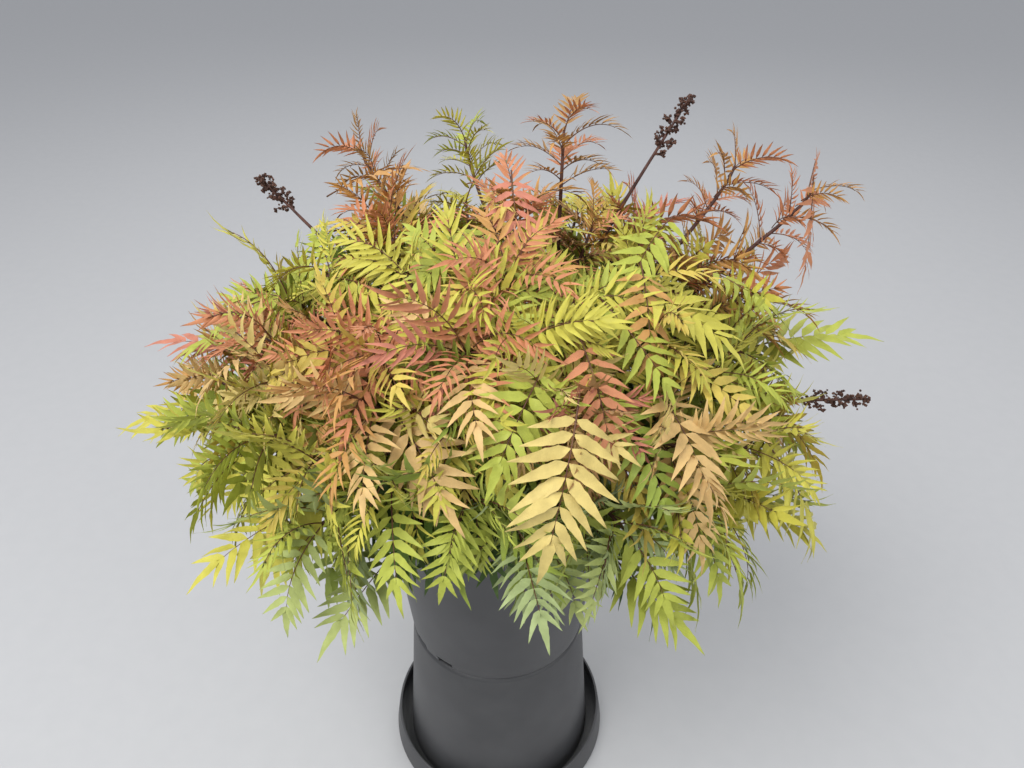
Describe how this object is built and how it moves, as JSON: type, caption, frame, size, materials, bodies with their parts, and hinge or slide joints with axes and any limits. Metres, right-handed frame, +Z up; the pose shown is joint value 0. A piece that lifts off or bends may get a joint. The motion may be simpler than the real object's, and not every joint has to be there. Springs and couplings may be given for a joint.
{
  "type": "potted false spirea",
  "caption": "Leafy false spirea shrub with yellow-green and salmon feathered leaves in a plain container that stands on an upturned container.",
  "frame": {"origin": "on the ground, on the two containers' common axis, which is the middle of the underside", "axes": "+Z up the shrub, -Y towards the side that the picture shows, +X to the right seen from there"},
  "size_m": [0.662, 0.524, 0.722],
  "materials": {
    "container": "satin",
    "compost": "matte",
    "bark": "matte",
    "leaves": "satin",
    "new_leaves": "satin",
    "seed_heads": "matte"
  },
  "bodies": {
    "root": {"bough_high_back": "bark", "bough_high_front": "bark", "bough_high_left_back": "bark", "bough_high_left_front": "bark", "bough_high_right_back": "bark", "bough_high_right_front": "bark", "bough_low_back_left": "bark", "bough_low_back_right": "bark", "bough_low_front": "bark", "bough_low_front_left": "bark", "bough_low_left": "bark", "bough_low_right": "bark", "frond_left": "new_leaves", "leaf_back": "leaves", "leaf_back_left": "leaves", "leaf_back_right": "leaves", "leaf_front": "leaves", "leaf_hanging_left": "leaves", "leaf_hanging_right": "leaves", "leaf_left": "leaves", "leaf_low_left": "leaves", "leaf_low_right": "leaves", "leaf_right": "leaves", "leaves_high_back": "leaves", "leaves_high_front": "leaves", "leaves_high_left_back": "leaves", "leaves_high_left_front": "leaves", "leaves_high_right_back": "leaves", "leaves_high_right_front": "leaves", "leaves_low_back": "leaves", "leaves_low_back_left": "leaves", "leaves_low_back_right": "leaves", "leaves_low_front": "leaves", "leaves_low_front_left": "leaves", "leaves_low_front_right": "leaves", "leaves_low_left": "leaves", "leaves_low_right": "leaves", "leaves_top": "leaves", "lower_container": "container", "plant_container": "container", "root_ball": "compost", "seed_head_left": "seed_heads", "seed_head_right": "seed_heads", "seed_head_top": "seed_heads", "shoot_back": "new_leaves", "shoot_back_left": "new_leaves", "shoot_far_right": "new_leaves", "shoot_right": "new_leaves", "shoot_top": "new_leaves"}
  },
  "joints": []
}
